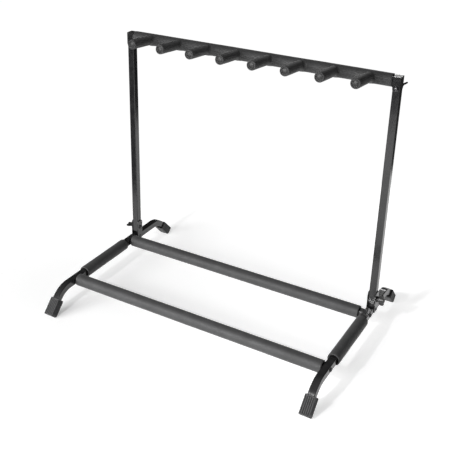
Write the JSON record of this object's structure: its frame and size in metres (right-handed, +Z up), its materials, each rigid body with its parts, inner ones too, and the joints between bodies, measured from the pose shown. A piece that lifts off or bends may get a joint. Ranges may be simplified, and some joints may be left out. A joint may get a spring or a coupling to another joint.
{
  "type": "guitar rack",
  "caption": "Folding floor rack for guitars: square steel tube frame with foam-covered bars and pegs, rubber foot caps and a hinged upper frame held by wing knobs.",
  "frame": {"origin": "middle of the rack's footprint, on the floor", "axes": "+X along the cross bars to the rack's right-hand end, +Y from the pegs' open side to the back, +Z up"},
  "size_m": [0.8782, 0.6428, 0.7624],
  "materials": {
    "powder_coat": "satin",
    "foam": "matte",
    "rubber": "matte",
    "black_plastic": "satin",
    "dark_steel": "satin"
  },
  "bodies": {
    "base": {"left_leg": "powder_coat", "right_leg": "powder_coat", "left_front_foot": "rubber", "left_rear_foot": "rubber", "right_front_foot": "rubber", "right_rear_foot": "rubber", "front_bar": "powder_coat", "rear_bar": "powder_coat", "front_bar_foam": "foam", "rear_bar_foam": "foam", "left_leg_foam": "foam", "right_leg_foam": "foam", "left_pivot_bracket": "powder_coat", "left_bracket_rivet": "dark_steel", "left_pivot_bolt": "dark_steel", "left_front_bar_bolt": "dark_steel", "left_rear_bar_bolt": "dark_steel", "right_pivot_bracket": "powder_coat", "right_bracket_rivet": "dark_steel", "right_pivot_bolt": "dark_steel", "right_front_bar_bolt": "dark_steel", "right_rear_bar_bolt": "dark_steel"},
    "upper_frame": {"top_bar": "powder_coat", "top_bar_foam": "foam", "peg_foam_1": "foam", "peg_foam_2": "foam", "peg_foam_3": "foam", "peg_foam_4": "foam", "peg_foam_5": "foam", "peg_foam_6": "foam", "peg_foam_7": "foam", "peg_foam_8": "foam", "peg_plug_1": "black_plastic", "peg_plug_2": "black_plastic", "peg_plug_3": "black_plastic", "peg_plug_4": "black_plastic", "peg_plug_5": "black_plastic", "peg_plug_6": "black_plastic", "peg_plug_7": "black_plastic", "peg_plug_8": "black_plastic", "left_upright": "powder_coat", "left_upright_plug": "black_plastic", "left_corner_bracket": "powder_coat", "left_corner_bolt": "dark_steel", "right_upright": "powder_coat", "right_upright_plug": "black_plastic", "right_corner_bracket": "powder_coat", "right_corner_bolt": "dark_steel"},
    "left_base_knob": {"left_base_knob": "black_plastic"},
    "left_corner_knob": {"left_corner_knob": "black_plastic"},
    "right_base_knob": {"right_base_knob": "black_plastic"},
    "right_corner_knob": {"right_corner_knob": "black_plastic"}
  },
  "joints": [
    {"name": "frame_fold", "type": "hinge", "parent": "base", "child": "upper_frame", "pos_m": [0, 0.1365, 0.101], "axis": [1, 0, 0], "range_deg": [0, 88]},
    {"name": "left_base_knob_turn", "type": "hinge", "parent": "base", "child": "left_base_knob", "pos_m": [-0.4275, 0.1365, 0.101], "axis": [1, 0, 0], "continuous": true},
    {"name": "left_corner_knob_turn", "type": "hinge", "parent": "upper_frame", "child": "left_corner_knob", "pos_m": [-0.405, 0.159, 0.72], "axis": [0, 1, 0], "continuous": true},
    {"name": "right_base_knob_turn", "type": "hinge", "parent": "base", "child": "right_base_knob", "pos_m": [0.4275, 0.1365, 0.101], "axis": [1, 0, 0], "continuous": true},
    {"name": "right_corner_knob_turn", "type": "hinge", "parent": "upper_frame", "child": "right_corner_knob", "pos_m": [0.405, 0.159, 0.72], "axis": [0, 1, 0], "continuous": true}
  ]
}
